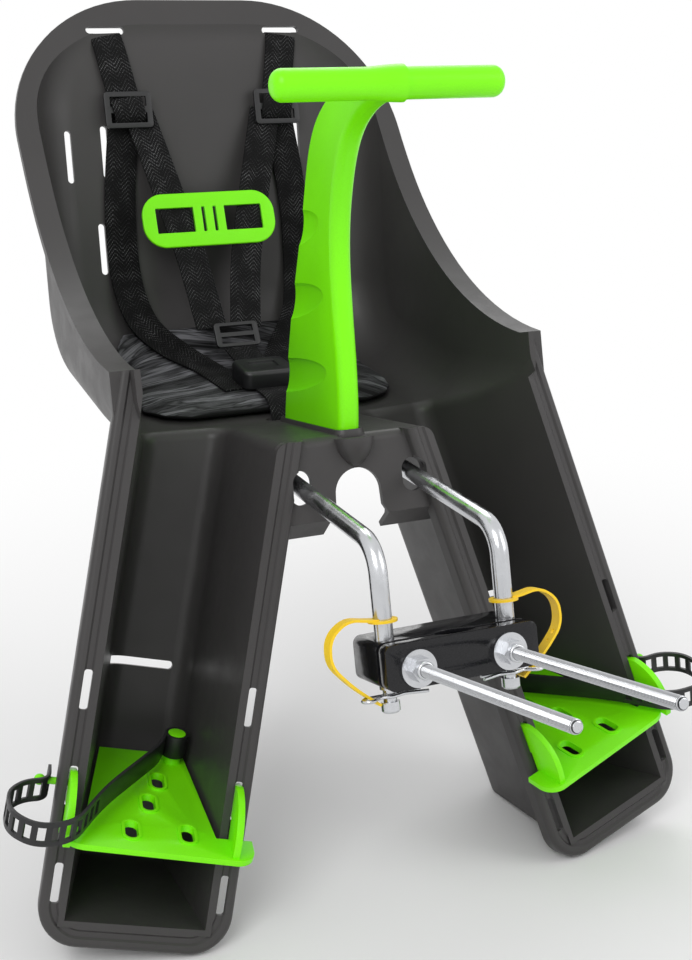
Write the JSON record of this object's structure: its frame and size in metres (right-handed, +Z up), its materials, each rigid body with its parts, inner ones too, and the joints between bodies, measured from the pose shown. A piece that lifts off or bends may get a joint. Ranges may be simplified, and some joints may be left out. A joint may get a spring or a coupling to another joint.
{
  "type": "front-mounted child bicycle seat",
  "caption": "Bucket seat for a small child that clamps to a bicycle's head tube, with leg channels, movable footrests, T-bar grip, pad, harness and bent carrier bar.",
  "frame": {"origin": "midway between the two clamp bolts, on the clamp plate's front face where the washers press", "axes": "+Z up with the bicycle upright, +X across towards the right of the picture, -Y forwards; the head tube leans back 14 degrees from +Z towards +Y, and the clamp bolts point forwards and up along (0, -0.970, 0.242)"},
  "size_m": [0.51, 0.6615, 0.5878],
  "materials": {
    "shell_plastic": "dark warm grey moulded polypropylene with a satin grain",
    "lime_plastic": "lime green moulded plastic, smooth",
    "zinc_steel": "bright zinc-plated steel",
    "black_paint": "gloss black powder coat on pressed steel",
    "yellow_elastic": "soft yellow elastomer",
    "pad_fabric": "printed polyester over thin foam, grey streaks on black",
    "black_plastic": "black acetal",
    "webbing": "black herringbone polypropylene webbing"
  },
  "bodies": {
    "seat": {"bar_clip_left": "zinc_steel", "bar_clip_right": "zinc_steel", "buckle": "black_plastic", "chest_clip": "lime_plastic", "chest_strap_left": "webbing", "chest_strap_right": "webbing", "clamp_bolt_left": "zinc_steel", "clamp_bolt_right": "zinc_steel", "clip_screw_inner_left": "zinc_steel", "clip_screw_inner_right": "zinc_steel", "clip_screw_outer_left": "zinc_steel", "clip_screw_outer_right": "zinc_steel", "clip_tether_left": "yellow_elastic", "clip_tether_right": "yellow_elastic", "crotch_strap": "webbing", "foot_strap_left": "black_plastic", "foot_strap_right": "black_plastic", "footrest_left": "lime_plastic", "footrest_right": "lime_plastic", "lap_strap_left": "webbing", "lap_strap_right": "webbing", "middle_slider": "black_plastic", "middle_strap": "webbing", "rear_bracket": "black_paint", "seat_pad": "pad_fabric", "seat_shell": "shell_plastic", "shoulder_strap_left": "webbing", "shoulder_strap_right": "webbing", "spring_clip_left": "zinc_steel", "spring_clip_right": "zinc_steel", "strap_slider_left": "black_plastic", "strap_slider_right": "black_plastic", "support_bar": "zinc_steel", "t_handle": "lime_plastic"},
    "clamp": {"clamp_plate": "black_paint", "clamp_washer_left": "zinc_steel", "clamp_washer_right": "zinc_steel", "clamp_nut_left": "zinc_steel", "clamp_nut_right": "zinc_steel"}
  },
  "joints": [
    {"name": "clamp_slide", "type": "slide", "parent": "seat", "child": "clamp", "axis": [0, -0.9703, 0.2419], "range_m": [0, 0.155]}
  ]
}
